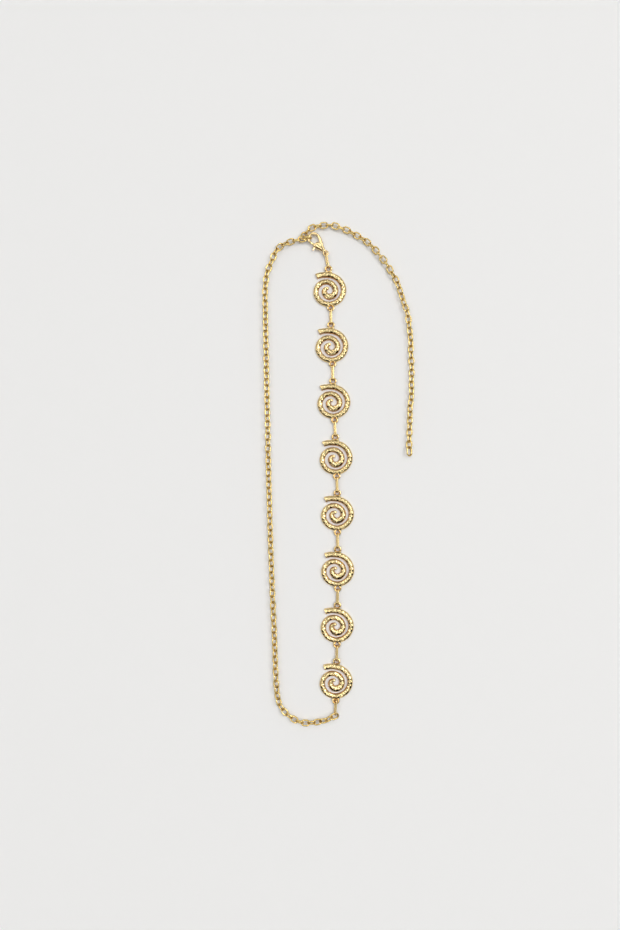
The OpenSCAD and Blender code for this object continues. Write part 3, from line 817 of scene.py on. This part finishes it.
def add_floor():
    """A wide pale table, a hair below the lowest metal."""
    half, below = 12.0, 0.00004
    corners = [(-half, -half, 0), (half, -half, 0), (half, half, 0), (-half, half, 0)]
    mesh = bpy.data.meshes.new("table")
    mesh.from_pydata(corners, [], [(0, 1, 2, 3)])
    table = new_object("table", mesh)
    table.location.z = -below
    material = bpy.data.materials.new("table_paper")
    material.use_nodes = True
    shader = material.node_tree.nodes["Principled BSDF"]
    shader.inputs["Base Color"].default_value = (0.926, 0.934, 0.95, 1)
    shader.inputs["Roughness"].default_value = 0.8
    shader.inputs["Specular IOR Level"].default_value = 0.2
    mesh.materials.append(material)


def add_world():
    """Room light: a pale backdrop all round, panels overhead with gaps between them, dark on the near side."""
    world = bpy.data.worlds.new("studio")
    bpy.context.scene.world = world
    world.use_nodes = True
    nodes, links = world.node_tree.nodes, world.node_tree.links
    ramp, maths = node_kit(world.node_tree, "SMOOTHSTEP")
    place = nodes.new("ShaderNodeTexCoord")
    parts = nodes.new("ShaderNodeSeparateXYZ")
    links.new(place.outputs["Generated"], parts.inputs["Vector"])
    x, y, z = (parts.outputs[k] for k in "XYZ")

    def between(axis, low, high, edge):
        rise = ramp(axis, low - edge, low + edge, 0.0, 1.0)
        return maths("MULTIPLY", rise, ramp(axis, high - edge, high + edge, 1.0, 0.0))

    def panel(x_from, x_to, y_from, y_to, edge, strength):
        """A bright soft-edged rectangle of the sky."""
        shape = maths("MULTIPLY", between(x, x_from, x_to, edge), between(y, y_from, y_to, edge))
        return maths("MULTIPLY", shape, strength)

    sky = maths("MULTIPLY", ramp(z, *RISE, sky_low, sky_high), ramp(z, *ZENITH, 1.0, zenith_share))
    near = maths("MULTIPLY", ramp(y, *NEAR_SIDE, 0.0, 1.0), ramp(z, *NEAR_SIDE_TOP, 0.0, 1.0))
    sky = maths("MULTIPLY", sky, maths("SUBTRACT", 1.0, near))
    for row in PANELS:
        sky = maths("ADD", sky, panel(*row))
    sky = maths("ADD", sky, ramp(z, *BACKDROP_TOP, 0.0, backdrop))
    # Behind the object every view sees the plain pale backdrop, and only the metal reflects the rest.
    seen = nodes.new("ShaderNodeLightPath").outputs["Is Camera Ray"]
    sky = maths("MULTIPLY", sky, maths("SUBTRACT", 1.0, seen))
    sky = maths("ADD", sky, maths("MULTIPLY", seen, backdrop))
    background = nodes["Background"]
    links.new(maths("MULTIPLY", sky, brightness), background.inputs["Strength"])
    background.inputs["Color"].default_value = (*sky_colour, 1)


def add_softbox():
    """A small soft light on the right, for the shadows."""
    place = Vector((0.9, 0.25, 1.5))
    light = bpy.data.lights.new("softbox_right", "AREA")
    light.shape = "RECTANGLE"
    light.size, light.size_y = 0.25, 0.25
    light.energy = 1.5
    light.color = (1, 0.98, 0.95)
    obj = new_object("softbox_right", light)
    obj.location = place
    obj.rotation_euler = (-place).to_track_quat("-Z", "Y").to_euler()


def add_camera():
    """Straight above the table, framed as the photograph is."""
    film_height = 36
    camera = bpy.data.cameras.new("camera")
    camera.sensor_fit = "VERTICAL"
    camera.sensor_height = film_height
    camera.lens = film_height * (camera_height - metal_z) / (mm_per_pixel * picture_height_px)
    camera.clip_start = 0.01
    camera.clip_end = 20
    obj = new_object("camera", camera)
    obj.location = (picture_middle[0] * MM, picture_middle[1] * MM, camera_height * MM)
    bpy.context.scene.camera = obj


add_floor()
add_world()
add_softbox()
add_camera()
bpy.context.scene.view_settings.view_transform = "Standard"
